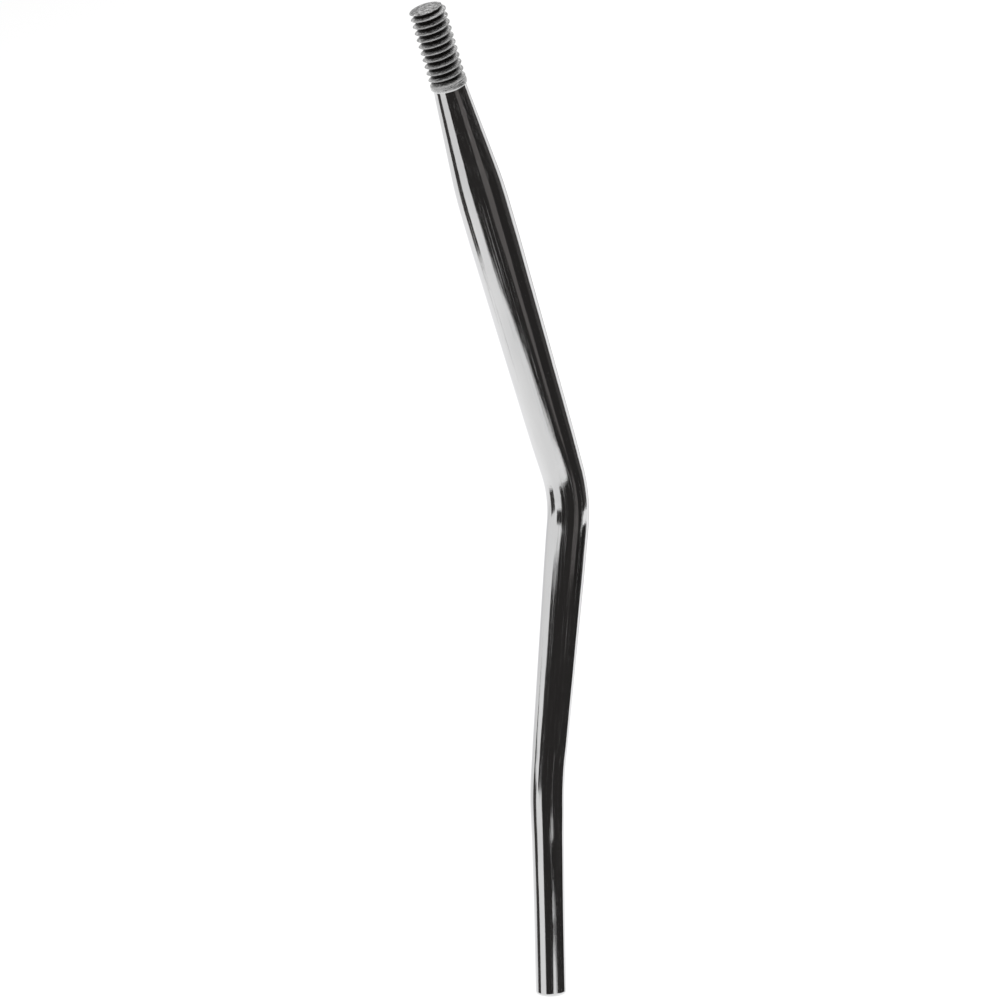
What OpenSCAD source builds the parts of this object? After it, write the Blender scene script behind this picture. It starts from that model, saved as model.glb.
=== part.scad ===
// Tremolo arm for an electric guitar bridge: one solid bar of plated steel
// with a male thread at the upper end, a flared neck, a long taper, two bends
// and a plain round end that takes a slip-on tip.
// Millimetres. +Z points out of the threaded end along the thread axis.
// The origin is on the thread axis, at the foot of the full thread diameter,
// just above the smooth neck and the shoulder where the shaft begins.
// Both bends lie in the XZ plane.

/* [Thread] */
// Outside (major) diameter of the thread
thread_diameter = 5.48; // [5:0.01:6]
// Distance between neighbouring crests
thread_pitch = 1.06; // [0.8:0.01:1.2]
// Shoulder to the very end of the thread, dome included
thread_length = 13.35; // [10:0.1:20]
// Length of the smooth neck between the shoulder and the first groove
neck_length = 0.7; // [0.5:0.1:1.5]
// Height of the domed end face
dome_height = 0.35; // [0.2:0.05:0.6]

/* [Shaft] */
// Diameter of the shaft where it meets the thread
neck_diameter = 4.95; // [4.6:0.05:5]
// Largest diameter of the shaft
shaft_diameter = 7.45; // [7.2:0.05:8]
// Shoulder to the end of the conical flare
flare_length = 15; // [12:0.5:17]
// Shoulder to the place where the long taper begins
full_length = 24.5; // [21:0.5:30]
// Shoulder to the corner of the main bend, along the axis
upper_length = 66.5; // [60:0.5:80]
// Main bend to tip bend, corner to corner
middle_length = 44; // [38:0.5:60]
// Tip bend to the plain end
lower_length = 32.6; // [30:0.1:45]

/* [Bends] */
// Angle of the main bend
main_bend = 23; // [10:0.5:35]
// Radius of the main bend at the middle of the bar
main_bend_radius = 22; // [16:0.5:30]
// Diameter of the bar in the main bend
main_bend_diameter = 6.4; // [6.1:0.05:6.6]
// Angle of the bend above the plain end
tip_bend = 6.5; // [4:0.5:12]
// Radius of that bend at the middle of the bar
tip_bend_radius = 60; // [40:1:80]
// Diameter of the bar in that bend
tip_bend_diameter = 5.1; // [4.9:0.05:5.3]

/* [Plain end] */
// Diameter of the round end that takes a slip-on tip
seat_diameter = 4.6; // [4.3:0.05:4.8]
// Length of that end, chamfer included
seat_length = 15; // [10:0.5:18]
// Chamfer on its edge
end_chamfer = 0.45; // [0.2:0.05:0.8]

/* [Hidden] */
$fn = 96;
steel = [0.78, 0.79, 0.81];

r_major = thread_diameter / 2;
groove_depth = 0.6 * thread_pitch;
r_root = r_major - groove_depth;
overshoot = 0.06;
groove_half = thread_pitch * 7 / 16 + overshoot * tan(30);

per_turn = 24;
turns = ceil((thread_length - neck_length) / thread_pitch) + 1;
groove_rings = turns * per_turn;
groove_start = neck_length + thread_pitch / 2;
runout_rings = 18;

// The bars reach this far into the tip bend, which stands this much prouder.
key = 0.3;
skin = 0.01;

main_tangent = main_bend_radius * tan(main_bend / 2);
tip_tangent = tip_bend_radius * tan(tip_bend / 2);
upper_straight = upper_length - main_tangent;
middle_straight = middle_length - main_tangent - tip_tangent;
lower_straight = lower_length - tip_tangent;

flare_slope = (shaft_diameter - 0.2 - neck_diameter) / 2 / flare_length;
shaft_slope = (shaft_diameter - main_bend_diameter) / 2
    / (upper_straight - full_length);

// Groove depth along the helix: nothing at the shoulder, full after the run-out.
function fade(i) = min(1, i / runout_rings);

function ring_root(i) = r_major + overshoot / 2
    - (groove_depth + overshoot / 2) * fade(i);

function ring_half(i) = groove_half
    - (r_major + overshoot - ring_root(i)) * tan(30);

function on_helix(r, i, dz) = [
    r * cos(360 * i / per_turn),
    r * sin(360 * i / per_turn),
    groove_start + thread_pitch * i / per_turn + dz
];

groove_points = [
    for (i = [0 : groove_rings])
        for (k = [0 : 3])
            k == 0 ? on_helix(r_major + overshoot, i, -groove_half)
            : k == 1 ? on_helix(r_major + overshoot, i, groove_half)
            : k == 2 ? on_helix(ring_root(i), i, ring_half(i))
            : on_helix(ring_root(i), i, -ring_half(i))
];

groove_faces = concat(
    [[0, 2, 1], [0, 3, 2]],
    [
        for (i = [0 : groove_rings - 1])
            for (k = [0 : 3])
                [4 * i + k, 4 * i + 4 + (k + 1) % 4, 4 * i + 4 + k]
    ],
    [
        for (i = [0 : groove_rings - 1])
            for (k = [0 : 3])
                [4 * i + k, 4 * i + (k + 1) % 4, 4 * i + 4 + (k + 1) % 4]
    ],
    [
        [4 * groove_rings, 4 * groove_rings + 1, 4 * groove_rings + 2],
        [4 * groove_rings, 4 * groove_rings + 2, 4 * groove_rings + 3]
    ]
);

// Helical V groove of a right-hand thread.
module groove() {
    polyhedron(points = groove_points, faces = groove_faces, convexity = 10);
}

// Half profile of the upper straight bar, from the domed end to the main bend.
module upper_profile() {
    cap_r = r_root + 0.3;
    top = thread_length - dome_height;
    polygon([
        [0, -upper_straight],
        [main_bend_diameter / 2, -upper_straight],
        [main_bend_diameter / 2 + shaft_slope * 5 + 0.04, -upper_straight + 5],
        [shaft_diameter / 2, -full_length],
        [shaft_diameter / 2, -flare_length - 4],
        [shaft_diameter / 2 - 0.03, -flare_length - 1.8],
        [shaft_diameter / 2 - 0.1, -flare_length],
        [neck_diameter / 2 + flare_slope * 1.2, -1.2],
        [neck_diameter / 2, -0.2],
        [neck_diameter / 2, neck_length - 0.3],
        [r_major, neck_length],
        [r_major, top - (r_major - cap_r) * 0.8],
        [cap_r, top],
        [cap_r * 0.75, top + dome_height * 0.44],
        [cap_r * 0.5, top + dome_height * 0.75],
        [cap_r * 0.25, top + dome_height * 0.94],
        [0, thread_length]
    ]);
}

// Bar from the main bend down to the tip bend, drawn downwards from z = 0.
module middle_profile() {
    polygon([
        [0, 0],
        [main_bend_diameter / 2, 0],
        [main_bend_diameter / 2 - 0.08, -4],
        [tip_bend_diameter / 2 + 0.1, -middle_straight + 3],
        [tip_bend_diameter / 2, -middle_straight],
        [tip_bend_diameter / 2, -middle_straight - key],
        [0, -middle_straight - key]
    ]);
}

// Bar from the tip bend to the plain end, drawn downwards, its face in the bend.
module lower_profile() {
    polygon([
        [0, key],
        [tip_bend_diameter / 2, key],
        [tip_bend_diameter / 2, 0],
        [seat_diameter / 2 + 0.12, -4],
        [seat_diameter / 2, -lower_straight + seat_length],
        [seat_diameter / 2, -lower_straight + end_chamfer],
        [seat_diameter / 2 - end_chamfer, -lower_straight],
        [0, -lower_straight]
    ]);
}

// Round bar of diameter d bent by an angle towards -X, starting at z = 0.
module elbow(d, radius, angle) {
    translate([-radius, 0, 0])
        rotate([-90, 0, 0])
            rotate_extrude(angle = angle)
                translate([radius, 0])
                    circle(d = d);
}

// Moves its children to the far end of such an elbow.
module past_elbow(radius, angle) {
    translate([-radius * (1 - cos(angle)), 0, -radius * sin(angle)])
        rotate([0, angle, 0])
            children();
}

module arm() {
    color(steel)
        translate([0, 0, -neck_length]) {
            difference() {
                rotate_extrude()
                    upper_profile();
                groove();
            }
            translate([0, 0, -upper_straight]) {
                elbow(main_bend_diameter, main_bend_radius, main_bend);
                past_elbow(main_bend_radius, main_bend) {
                    rotate_extrude()
                        middle_profile();
                    translate([0, 0, -middle_straight])
                        rotate([0, 0, 180]) {
                            elbow(
                                tip_bend_diameter + 2 * skin,
                                tip_bend_radius,
                                tip_bend
                            );
                            past_elbow(tip_bend_radius, tip_bend)
                                rotate_extrude()
                                    lower_profile();
                        }
                }
            }
        }
}

arm();
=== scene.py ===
"""A guitar tremolo arm: one bright-plated steel bar with a bare thread, over a pale studio floor."""

import math

import bpy
import numpy as np
from mathutils import Matrix, Vector


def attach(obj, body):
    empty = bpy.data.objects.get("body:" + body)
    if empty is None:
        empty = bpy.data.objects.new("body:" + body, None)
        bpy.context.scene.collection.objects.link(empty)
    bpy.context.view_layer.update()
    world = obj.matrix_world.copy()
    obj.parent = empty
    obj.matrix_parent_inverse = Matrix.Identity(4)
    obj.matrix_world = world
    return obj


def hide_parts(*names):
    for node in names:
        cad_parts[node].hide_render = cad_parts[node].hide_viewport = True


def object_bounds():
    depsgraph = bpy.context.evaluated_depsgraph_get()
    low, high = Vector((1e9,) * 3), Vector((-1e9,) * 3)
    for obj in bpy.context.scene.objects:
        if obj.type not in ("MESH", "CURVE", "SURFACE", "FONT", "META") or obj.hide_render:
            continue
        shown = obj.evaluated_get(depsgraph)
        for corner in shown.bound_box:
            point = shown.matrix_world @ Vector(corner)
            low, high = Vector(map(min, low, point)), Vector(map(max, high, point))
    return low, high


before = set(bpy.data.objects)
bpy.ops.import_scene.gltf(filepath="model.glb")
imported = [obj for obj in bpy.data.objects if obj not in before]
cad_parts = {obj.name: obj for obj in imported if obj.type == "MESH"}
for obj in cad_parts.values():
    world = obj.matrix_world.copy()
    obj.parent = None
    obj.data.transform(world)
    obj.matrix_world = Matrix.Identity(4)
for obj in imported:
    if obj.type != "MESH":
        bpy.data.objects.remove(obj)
cad_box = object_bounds()
cad_middle = (cad_box[0] + cad_box[1]) / 2

MM = 0.001

# Thread, in millimetres. Heights are along the thread axis, from the frame's origin.
PITCH = 1.06
NECK = 0.7
NECK_R = 2.475
THREAD_R = 2.74
ROOT_R = THREAD_R - 0.6 * PITCH
ROOT_HALF = 0.1
FLANK_SLOPE = math.sqrt(3)
RUN_OUT = 0.75 * PITCH
# The flanks would meet a little above the thread's radius. This rounds the crest between them.
CREST_R = THREAD_R + 0.08
CREST_SHARPNESS = 7
DOME_TOP = cad_box[1].z / MM
DOME = 0.35
DOME_BASE = DOME_TOP - DOME
CAP_R = 2.4
CHAMFER_FOOT = DOME_BASE - (THREAD_R - CAP_R) * 0.8

# Height and radius of the threaded end before the thread is cut, from the neck up.
BLANK = [
    (-NECK, NECK_R),
    (-0.25, NECK_R),
    (-0.06, 2.64),
    (0.0, THREAD_R),
    (CHAMFER_FOOT, THREAD_R),
    (DOME_BASE, CAP_R),
]

# Bar, in millimetres down its axis from the shoulder.
MAIN_BEND, MAIN_BEND_R = 23.0, 22.0
TIP_BEND, TIP_BEND_R = 6.5, 60.0
UPPER, MIDDLE, LOWER = 66.5, 44.0, 32.6
CHAMFER = 0.45
SEAT_R = 2.29
# The swept mesh ends this much short, to stay inside the CAD solid.
CLEAR = 0.03

main_tangent = MAIN_BEND_R * math.tan(math.radians(MAIN_BEND / 2))
tip_tangent = TIP_BEND_R * math.tan(math.radians(TIP_BEND / 2))
main_start = UPPER - main_tangent
main_end = main_start + MAIN_BEND_R * math.radians(MAIN_BEND)
tip_start = main_end + MIDDLE - main_tangent - tip_tangent
tip_end = tip_start + TIP_BEND_R * math.radians(TIP_BEND)
bar_end = tip_end + LOWER - tip_tangent

# Diameter of the bar at places down its length. The first carries the flare on above the shoulder.
DIAMETERS = [
    (-3.0, 4.46),
    (0.0, 2 * NECK_R),
    (15.0, 7.25),
    (18.0, 7.42),
    (24.5, 7.42),
    (main_start - 5, 6.64),
    (main_start, 6.4),
    (main_end, 6.36),
    (main_end + 5, 6.2),
    (tip_start - 3, 5.28),
    (tip_start, 5.1),
    (tip_end, 5.08),
    (tip_end + 5, 4.82),
    (bar_end - 15, 4.63),
    (bar_end - 12, 2 * SEAT_R),
    (bar_end, 2 * SEAT_R),
]
# Changes of taper are eased over this length to each side.
EASE = 1.5
EASE_SAMPLES = 13
# How far bending has flattened the bar, as a part of its radius, and over what length in mm.
FLAT_INSIDE, FLAT_OUTSIDE, FLAT_REACH = 0.035, 0.02, 6.0

# Sides and rings of the swept mesh, with the spacing of rings in mm.
SIDES = 128
FINE = PITCH / 24
COARSE = 0.4
DOME_RINGS = 16
RIM_RINGS = 8
# The dome's first ring is this part of its radius, and a fan closes it.
DOME_START = 0.06
# The dome counts as lying this deep in the thread's groove, between the light crest and the painted
# shade of the root.
DOME_DEPTH = 0.22
# The plating reaches this far from the shoulder up the neck.
PLATED_NECK = NECK - 0.1


# ---------------------------------------------------------------- the bar

def axis_of_bar(along):
    """Centre (x, z) and heading of the bar's axis, in mm, for places down its length."""
    grid = np.arange(-20, bar_end + 1, 0.02)
    turn_places = [main_start, main_end, tip_start, tip_end]
    turn_angles = [0, MAIN_BEND, MAIN_BEND, MAIN_BEND - TIP_BEND]
    heading = np.radians(np.interp(grid, turn_places, turn_angles))
    step = np.diff(grid)
    sine, cosine = np.sin(heading), np.cos(heading)
    x = -np.concatenate([[0], np.cumsum(step * (sine[1:] + sine[:-1]) / 2)])
    z = -np.concatenate([[0], np.cumsum(step * (cosine[1:] + cosine[:-1]) / 2)])
    z += np.interp(0, grid, -z) - NECK
    return np.interp(along, grid, x), np.interp(along, grid, z), np.interp(along, grid, heading)


def bar_radius(along):
    """Radius of the bar, with its changes of taper eased over a short length."""
    places, diameters = zip(*DIAMETERS)
    offsets = np.linspace(-1, 1, EASE_SAMPLES)
    weights = 1 - np.abs(offsets) ** 2 + 0.05
    total = sum(w * np.interp(along + EASE * o, places, diameters) for o, w in zip(offsets, weights))
    return total / weights.sum() / 2


def soft_min(a, b, sharpness):
    """The smaller of two lengths, with the corner between them rounded."""
    return -np.logaddexp(-sharpness * a, -sharpness * b) / sharpness


def thread_radius(height, angle):
    """Radius of the right-hand thread at a height on its axis and an angle round it."""
    turn = (height / PITCH - angle / (2 * math.pi)) % 1
    from_groove = np.abs(turn - 0.5) * PITCH
    flank = ROOT_R + np.maximum(from_groove - ROOT_HALF, 0) * FLANK_SLOPE
    cut = soft_min(flank, np.full_like(flank, CREST_R), CREST_SHARPNESS)
    fade = np.clip((height - PITCH / 2) / RUN_OUT, 0, 1)
    return THREAD_R - (THREAD_R - cut) * fade


def upper_rings(angle):
    """Rings of the dome, chamfer, thread and neck, from the top down: places and radii."""
    part = np.linspace(DOME_START, 1, DOME_RINGS)
    below = np.arange(DOME_BASE - FINE, -NECK, -FINE)
    heights = np.concatenate([DOME_TOP - DOME * part**2, below])
    limits = np.concatenate([CAP_R * part, np.interp(below, *zip(*BLANK))])
    radii = thread_radius(heights[:, None], angle[None, :])
    return -NECK - heights, np.minimum(radii, limits[:, None])


def lower_rings(angle):
    """Rings of the plated bar, from the shoulder to the chamfered end: places and radii."""
    along = np.arange(0, bar_end - CLEAR - CHAMFER, COARSE)
    radii = bar_radius(along)
    rim = np.linspace(0, math.pi / 2, RIM_RINGS)
    along = np.concatenate([along, bar_end - CLEAR - CHAMFER * (1 - np.sin(rim))])
    radii = np.concatenate([radii, SEAT_R - CHAMFER * (1 - np.cos(rim))])
    # Bending has flattened the bar a little on the inside and the outside of the main bend.
    middle = (main_start + main_end) / 2
    near = np.exp(-(((along - middle) / FLAT_REACH) ** 2))[:, None]
    flat = np.where(np.cos(angle) < 0, FLAT_INSIDE, FLAT_OUTSIDE) * np.cos(angle) ** 2
    return along, radii[:, None] * (1 - near * flat[None, :])


def sweep_faces(rings, top, bottom):
    """Quads between neighbouring rings, and a fan from a point at each end."""
    faces = []
    for i in range(rings - 1):
        for j in range(SIDES):
            k = (j + 1) % SIDES
            faces.append((i * SIDES + j, (i + 1) * SIDES + j, (i + 1) * SIDES + k, i * SIDES + k))
    last = (rings - 1) * SIDES
    faces += [(top, j, (j + 1) % SIDES) for j in range(SIDES)]
    faces += [(bottom, last + (j + 1) % SIDES, last + j) for j in range(SIDES)]
    return faces


def build_arm():
    """The whole arm as one closed mesh swept along the bent axis."""
    angle = np.linspace(0, 2 * math.pi, SIDES, endpoint=False)
    top_along, top_radii = upper_rings(angle)
    low_along, low_radii = lower_rings(angle)
    along = np.concatenate([top_along, low_along])
    radii = np.vstack([top_radii, low_radii])
    x, z, heading = axis_of_bar(along)
    across = radii * np.cos(angle)
    px = x[:, None] + across * np.cos(heading)[:, None]
    py = radii * np.sin(angle)
    pz = z[:, None] - across * np.sin(heading)[:, None]
    points = np.stack([px, py, pz], axis=-1).reshape(-1, 3)
    points = np.vstack([points, [[0, 0, DOME_TOP], [x[-1], 0, z[-1]]]]) * MM

    rings = len(along)
    faces = sweep_faces(rings, len(points) - 2, len(points) - 1)
    mesh = bpy.data.meshes.new("tremolo_arm")
    mesh.from_pydata(points.tolist(), [], faces)
    mesh.polygons.foreach_set("use_smooth", [True] * len(faces))

    # The bar as it was before bending, so that the draw lines follow it.
    straight = np.stack([across, py, np.repeat(along[:, None], SIDES, axis=1)], axis=-1).reshape(-1, 3)
    straight = np.vstack([straight, [[0, 0, along[0]], [0, 0, along[-1]]]])
    mesh.attributes.new("straight", "FLOAT_VECTOR", "POINT").data.foreach_set("vector", straight.ravel())

    # The depth of the groove, which sets the painted shade in the thread, and the flanks that face up
    # towards the threaded end, which get a painted highlight.
    groove = np.clip((THREAD_R - radii) / (THREAD_R - ROOT_R), 0, 1)
    groove[:DOME_RINGS] = DOME_DEPTH
    groove[len(top_along):] = 0
    flank = np.clip(np.gradient(radii, along, axis=0) / FLANK_SLOPE, 0, 1)
    flank[:DOME_RINGS] = 0
    flank[len(top_along):] = 0
    for name, values in (("groove", groove), ("flank", flank)):
        values = np.append(values.ravel(), [0, 0])
        mesh.attributes.new(name, "FLOAT", "POINT").data.foreach_set("value", values)

    bare_rings = int(np.searchsorted(along, -PLATED_NECK))
    material = np.array([1 if i < bare_rings else 0 for i in range(rings - 1) for _ in range(SIDES)])
    material = np.concatenate([material, np.full(SIDES, 1), np.full(SIDES, 0)])
    mesh.materials.append(plated_steel())
    mesh.materials.append(bare_steel())
    mesh.polygons.foreach_set("material_index", material)
    mesh.update()
    arm = bpy.data.objects.new("tremolo_arm", mesh)
    bpy.context.collection.objects.link(arm)
    return arm


# ---------------------------------------------------------------- materials

class Nodes:
    """Short ways to add and link nodes in one material."""

    def __init__(self, name):
        self.material = bpy.data.materials.new(name)
        self.material.use_nodes = True
        self.tree = self.material.node_tree
        self.shader = self.tree.nodes["Principled BSDF"]

    def add(self, kind, **settings):
        node = self.tree.nodes.new(kind)
        for key, value in settings.items():
            setattr(node, key, value)
        return node

    def link(self, source, target):
        self.tree.links.new(source, target)

    def coordinates(self, scale):
        """Coordinates of the unbent bar, stretched by a scale along each axis."""
        place = self.add("ShaderNodeAttribute", attribute_name="straight")
        stretch = self.add("ShaderNodeMapping")
        stretch.inputs["Scale"].default_value = scale
        self.link(place.outputs["Vector"], stretch.inputs["Vector"])
        return stretch.outputs["Vector"]

    def split(self):
        """The three coordinates of the unbent bar, in mm."""
        place = self.add("ShaderNodeAttribute", attribute_name="straight")
        node = self.add("ShaderNodeSeparateXYZ")
        self.link(place.outputs["Vector"], node.inputs["Vector"])
        return node

    def noise(self, scale, detail=4.0, roughness=0.5):
        node = self.add("ShaderNodeTexNoise")
        node.inputs["Scale"].default_value = 1.0
        node.inputs["Detail"].default_value = detail
        node.inputs["Roughness"].default_value = roughness
        self.link(self.coordinates(scale), node.inputs["Vector"])
        return node.outputs["Fac"]

    def ramp(self, source, low, high, out_low=0.0, out_high=1.0):
        """Maps a value from one range to another, and keeps it inside."""
        node = self.add("ShaderNodeMapRange", clamp=True)
        ends = (("From Min", low), ("From Max", high), ("To Min", out_low), ("To Max", out_high))
        for name, value in ends:
            node.inputs[name].default_value = value
        self.link(source, node.inputs["Value"])
        return node.outputs["Result"]

    def mix(self, factor, first, second):
        """Mixes two colours, each a colour or a socket."""
        node = self.add("ShaderNodeMix", data_type="RGBA")
        self.link(factor, node.inputs["Factor"])
        for name, value in (("A", first), ("B", second)):
            socket = [i for i in node.inputs if i.name == name and i.type == "RGBA"][0]
            if isinstance(value, tuple):
                socket.default_value = (*value, 1)
            else:
                self.link(value, socket)
        return [o for o in node.outputs if o.type == "RGBA"][0]

    def math(self, operation, first, second):
        """Joins two values, each a number or a socket."""
        node = self.add("ShaderNodeMath", operation=operation)
        for socket, value in zip(node.inputs, (first, second)):
            if isinstance(value, float):
                socket.default_value = value
            else:
                self.link(value, socket)
        return node.outputs["Value"]

    def bump(self, height, distance, below=None):
        node = self.add("ShaderNodeBump")
        node.inputs["Strength"].default_value = 1.0
        node.inputs["Distance"].default_value = distance
        self.link(height, node.inputs["Height"])
        if below:
            self.link(below, node.inputs["Normal"])
        return node.outputs["Normal"]


def plated_steel():
    """Bright plating: draw lines down the bar, hairlines, and orange peel where the bar was bent."""
    n = Nodes("plated_steel")
    n.shader.inputs["Metallic"].default_value = 1.0
    n.shader.inputs["Specular Tint"].default_value = (0.8, 0.8, 0.81, 1)

    tone = n.ramp(n.noise((0.5, 0.5, 0.12), 5), 0.35, 0.65)
    n.link(n.mix(tone, (0.83, 0.83, 0.832), (0.88, 0.88, 0.88)), n.shader.inputs["Base Color"])

    haze = n.noise((1.6, 1.6, 0.25), 6, 0.6)
    lines = n.noise((7.0, 7.0, 0.05), 5, 0.65)
    streaks = n.noise((5.0, 5.0, 0.02), 4, 0.6)
    hazy = n.ramp(haze, 0.3, 0.75, 0.01, 0.04)
    streaky = n.ramp(streaks, 0.46, 0.72, 0.0, 0.2)
    n.link(n.math("ADD", hazy, streaky), n.shader.inputs["Roughness"])

    down = n.split().outputs["Z"]
    near_bend = n.math(
        "MULTIPLY",
        n.ramp(down, main_start - 16, main_start - 4),
        n.ramp(down, main_end + 4, main_start + 2),
    )
    peel = n.math("MULTIPLY", n.noise((5.0, 5.0, 3.0), 3, 0.6), near_bend)
    normal = n.bump(peel, 0.6e-5)
    normal = n.bump(lines, 0.35e-5, normal)
    normal = n.bump(n.noise((0.35, 0.35, 0.06), 2), 2.0e-5, normal)
    n.link(normal, n.shader.inputs["Normal"])
    return n.material


def bare_steel():
    """Unplated thread: crests worn bright and also given a painted highlight, painted shade darkening
    into the roots, a painted highlight on the upward flanks, and a mottled dull grain between.
    """
    n = Nodes("bare_steel")
    n.shader.inputs["Metallic"].default_value = 1.0

    groove = n.add("ShaderNodeAttribute", attribute_name="groove").outputs["Fac"]
    mottle = n.ramp(n.noise((1.8, 1.8, 1.8), 6, 0.65), 0.38, 0.66)
    steel = n.mix(mottle, (0.11, 0.108, 0.105), (0.44, 0.44, 0.44))
    # Painted shade and highlight: the colour runs from light crests, partly worn, into darker steel down
    # the groove.
    thread = n.mix(n.ramp(groove, 0.02, 0.3), (0.62, 0.62, 0.62), steel)

    # Painted highlight: the flanks turned up towards the threaded end are painted lighter, and their
    # roots less dark.
    flank = n.add("ShaderNodeAttribute", attribute_name="flank").outputs["Fac"]
    upward_flank_highlight = n.ramp(flank, 0.15, 0.9)
    flank_highlight_colour = n.mix(mottle, (0.27, 0.27, 0.265), (0.70, 0.70, 0.70))
    thread = n.mix(upward_flank_highlight, thread, flank_highlight_colour)

    # Painted light: in patches on the +X side of the thread the painted root shade is weaker, so that
    # side is lighter.
    place = n.split()
    patches = n.ramp(n.noise((1.1, 1.1, 0.7), 5, 0.7), 0.35, 0.6)
    lighter_side_patches = n.math("MULTIPLY", n.ramp(place.outputs["X"], 0.6, 1.9), patches)
    # Painted shade: the roots of the groove are painted near black, less so under the flank highlight.
    deep = n.math("MULTIPLY", n.ramp(groove, 0.3, 0.8), n.ramp(upward_flank_highlight, 0.0, 1.0, 1.0, 0.0))
    deep = n.math("MAXIMUM", deep, n.ramp(groove, 0.6, 0.92))
    root = n.math("MULTIPLY", deep, n.ramp(lighter_side_patches, 0.0, 1.0, 1.0, 0.35))
    thread = n.mix(root, thread, (0.014, 0.013, 0.012))

    # The neck was turned clean after the thread was cut.
    on_neck = n.ramp(place.outputs["Z"], -NECK - 0.45, -NECK + 0.05)
    thread = n.mix(on_neck, thread, (0.80, 0.80, 0.80))

    # The end face is painted darker, as painted shade, with rings left by the turning tool.
    x_squared = n.math("MULTIPLY", place.outputs["X"], place.outputs["X"])
    y_squared = n.math("MULTIPLY", place.outputs["Y"], place.outputs["Y"])
    from_axis = n.math("SQRT", n.math("ADD", x_squared, y_squared), 0.0)
    rings = n.math("SINE", n.math("MULTIPLY", from_axis, 22.0), 0.0)
    face = n.mix(mottle, (0.04, 0.039, 0.038), (0.34, 0.34, 0.34))
    face_edge = -NECK - DOME_BASE
    on_face = n.ramp(place.outputs["Z"], face_edge + 0.1, face_edge - 0.02)
    n.link(n.mix(on_face, thread, face), n.shader.inputs["Base Color"])

    grain = n.noise((9.0, 9.0, 9.0), 4, 0.6)
    grainy = n.ramp(grain, 0.3, 0.7, 0.14, 0.30)
    rough = n.math("ADD", grainy, n.ramp(groove, 0.1, 0.9, 0.0, 0.2))
    n.link(rough, n.shader.inputs["Roughness"])

    normal = n.bump(grain, 0.8e-5)
    normal = n.bump(mottle, 4.0e-5, normal)
    normal = n.bump(n.math("MULTIPLY", rings, on_face), 0.8e-5, normal)
    n.link(normal, n.shader.inputs["Normal"])
    return n.material


# ---------------------------------------------------------------- studio

# Lengths here are in metres, and angles in degrees.
FLOOR_DROP = 0.25
FLOOR_HALF = 3.5
WORLD_LEVEL = 0.72
SHEET_DISTANCE = 0.45
SHEET_STEPS = 48
# Green and blue of the sheets, as parts of their red.
SHEET_GREEN, SHEET_BLUE = 0.94, 0.92

CAMERA_AIM = Vector((-0.0112, 0, -0.0627))
CAMERA_DISTANCE = 1.22
CAMERA_AZIMUTH, CAMERA_ELEVATION, CAMERA_ROLL = -25.334, 21.0, 16.53
# In millimetres.
LENS, SENSOR = 296.1, 36

floor_z = cad_box[0].z - FLOOR_DROP


def plain_material(name, level):
    """A surface of one even brightness, for the studio's sheets."""
    material = bpy.data.materials.new(name)
    material.use_nodes = True
    tree = material.node_tree
    tree.nodes.clear()
    glow = tree.nodes.new("ShaderNodeEmission")
    glow.inputs["Color"].default_value = (level, level * SHEET_GREEN, level * SHEET_BLUE, 1)
    out = tree.nodes.new("ShaderNodeOutputMaterial")
    tree.links.new(glow.outputs["Emission"], out.inputs["Surface"])
    return material


def make_sheet(name, level, height, span, lean):
    """
    A plain rectangular sheet, bent round the arm at studio distance.

    Its height is along an axis that leans towards +X, from the arm's middle, and its span is
    measured from the -Y side.
    """
    tilt = math.radians(lean)
    out_x = Vector((math.cos(tilt), 0, -math.sin(tilt)))
    out_y = Vector((0, -1, 0))
    up = Vector((math.sin(tilt), 0, math.cos(tilt)))
    points = []
    for i in range(SHEET_STEPS + 1):
        angle = math.radians(span[0] + (span[1] - span[0]) * i / SHEET_STEPS)
        out = (out_x * math.sin(angle) + out_y * math.cos(angle)) * SHEET_DISTANCE
        for edge in height:
            points.append(tuple(cad_middle + out + up * edge))
    faces = [(2 * i, 2 * i + 2, 2 * i + 3, 2 * i + 1) for i in range(SHEET_STEPS)]
    mesh = bpy.data.meshes.new(name)
    mesh.from_pydata(points, [], faces)
    mesh.materials.append(plain_material(name, level))
    piece = bpy.data.objects.new(name, mesh)
    bpy.context.collection.objects.link(piece)
    piece.visible_camera = False
    piece.visible_diffuse = False
    piece.visible_shadow = False
    return piece


def make_sheets():
    """Plain sheets, as a studio uses to give bright metal its dark bands, a row for each straight."""
    upper, side, rim = (-0.19, 0.03), (-0.13, 0.0), (-0.19, 0.1)
    lower, foot = (-0.19, -0.105), (-0.20, -0.13)
    sheets = [
        ("flag_upper_left", 0.022, upper, (-68, 0), 6),
        ("flag_upper_middle", 0.10, upper, (0, 26), 6),
        ("flag_upper_right", 0.02, upper, (26, 70), 6),
        ("flag_upper_edge", 0.05, upper, (70, 98), 6),
        ("flag_side", 0.04, side, (-138, -110), 0),
        ("flag_rim", 0.35, rim, (130, 150), 10),
        ("flag_lower_left", 0.03, lower, (-98, -62), 23),
        ("flag_lower_middle", 0.006, lower, (-62, -15), 23),
        ("flag_lower_right", 0.022, lower, (-15, 96), 23),
        ("flag_foot", 0.015, foot, (-68, 96), 16),
    ]
    for sheet in sheets:
        make_sheet(*sheet)


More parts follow.
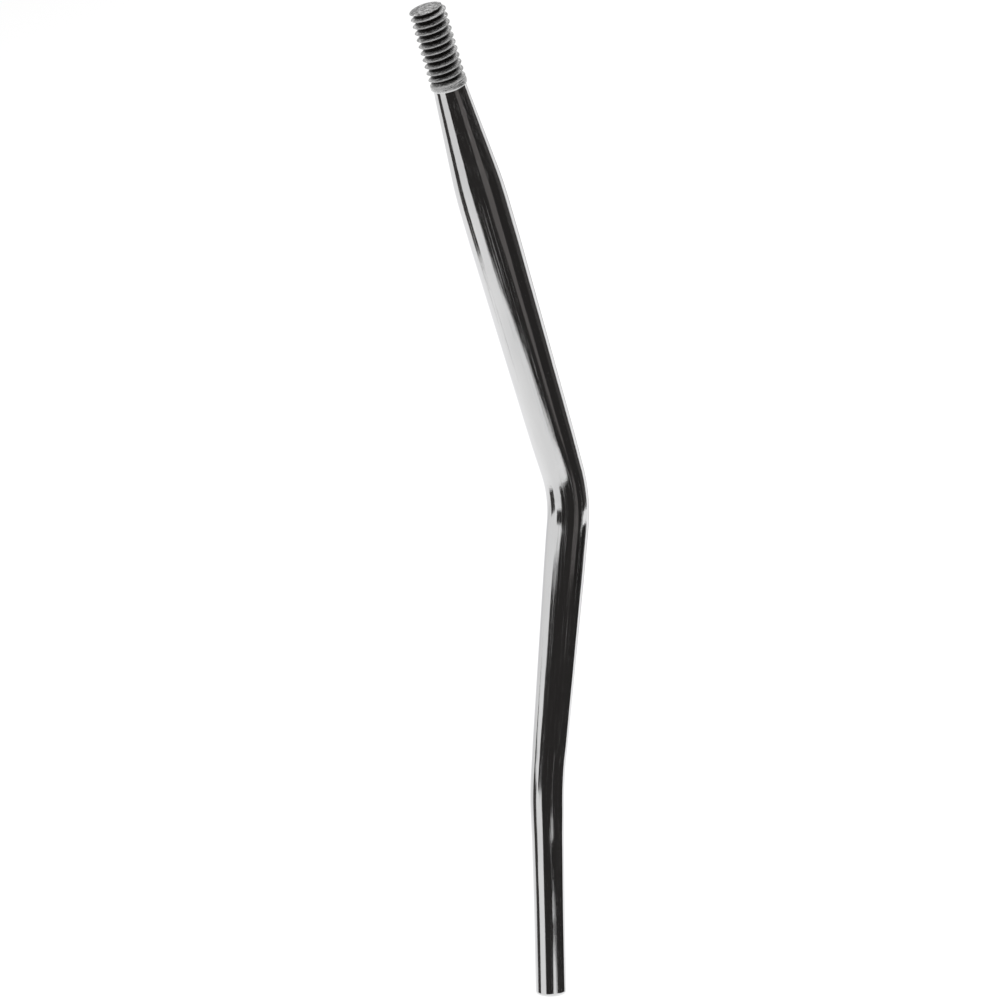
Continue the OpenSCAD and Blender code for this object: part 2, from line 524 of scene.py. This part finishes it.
def make_floor():
    """A wide plain floor well below the arm, which hangs in the air by its thread."""
    corners = [(-1, -1), (1, -1), (1, 1), (-1, 1)]
    points = [(x * FLOOR_HALF, y * FLOOR_HALF, floor_z) for x, y in corners]
    mesh = bpy.data.meshes.new("floor")
    mesh.from_pydata(points, [], [(0, 1, 2, 3)])
    material = bpy.data.materials.new("floor")
    material.use_nodes = True
    shader = material.node_tree.nodes["Principled BSDF"]
    shader.inputs["Base Color"].default_value = (0.92, 0.92, 0.92, 1)
    shader.inputs["Roughness"].default_value = 0.9
    shader.inputs["Specular IOR Level"].default_value = 0.0
    mesh.materials.append(material)
    floor = bpy.data.objects.new("floor", mesh)
    bpy.context.collection.objects.link(floor)
    return floor


def area_light(name, place, aim, size, power):
    """A soft square lamp."""
    lamp = bpy.data.lights.new(name, "AREA")
    lamp.shape = "SQUARE"
    lamp.size = size
    lamp.energy = power
    thing = bpy.data.objects.new(name, lamp)
    thing.location = place
    thing.rotation_mode = "QUATERNION"
    thing.rotation_quaternion = (Vector(aim) - Vector(place)).to_track_quat("-Z", "Y")
    bpy.context.collection.objects.link(thing)
    return thing


def make_lights():
    """An even pale room, a softbox overhead and a softbox over the floor behind the arm."""
    world = bpy.data.worlds.new("studio")
    world.use_nodes = True
    background = world.node_tree.nodes["Background"]
    background.inputs["Color"].default_value = (1, 1, 1, 1)
    background.inputs["Strength"].default_value = WORLD_LEVEL
    bpy.context.scene.world = world
    area_light("softbox_top", (0.1, 0.1, 0.7), (0, 0, 0), 0.35, 0.5)
    area_light("softbox_floor", (0.38, 0.8, floor_z + 1.1), (0.38, 0.8, floor_z), 1.0, 7.0)


def make_camera():
    """The long-lens camera, given by the point it aims at, its distance and its angles."""
    azimuth = math.radians(CAMERA_AZIMUTH)
    elevation = math.radians(CAMERA_ELEVATION)
    roll = math.radians(CAMERA_ROLL)
    back = Vector((
        math.sin(azimuth) * math.cos(elevation),
        -math.cos(azimuth) * math.cos(elevation),
        math.sin(elevation),
    ))
    level = Vector((math.cos(azimuth), math.sin(azimuth), 0))
    right = level * math.cos(roll) - back.cross(level) * math.sin(roll)
    up = back.cross(right)
    place = Matrix.Translation(CAMERA_AIM + back * CAMERA_DISTANCE)
    lens = bpy.data.cameras.new("camera")
    lens.lens = LENS
    lens.sensor_width = SENSOR
    lens.clip_start = 0.05
    lens.clip_end = 20
    camera = bpy.data.objects.new("camera", lens)
    camera.matrix_world = place @ Matrix((right, up, back)).transposed().to_4x4()
    bpy.context.collection.objects.link(camera)
    bpy.context.scene.camera = camera


# ---------------------------------------------------------------- scene

bpy.context.scene.view_settings.view_transform = "Standard"
make_camera()
make_floor()
make_lights()
make_sheets()

arm = build_arm()
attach(arm, "root")
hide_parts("arm")
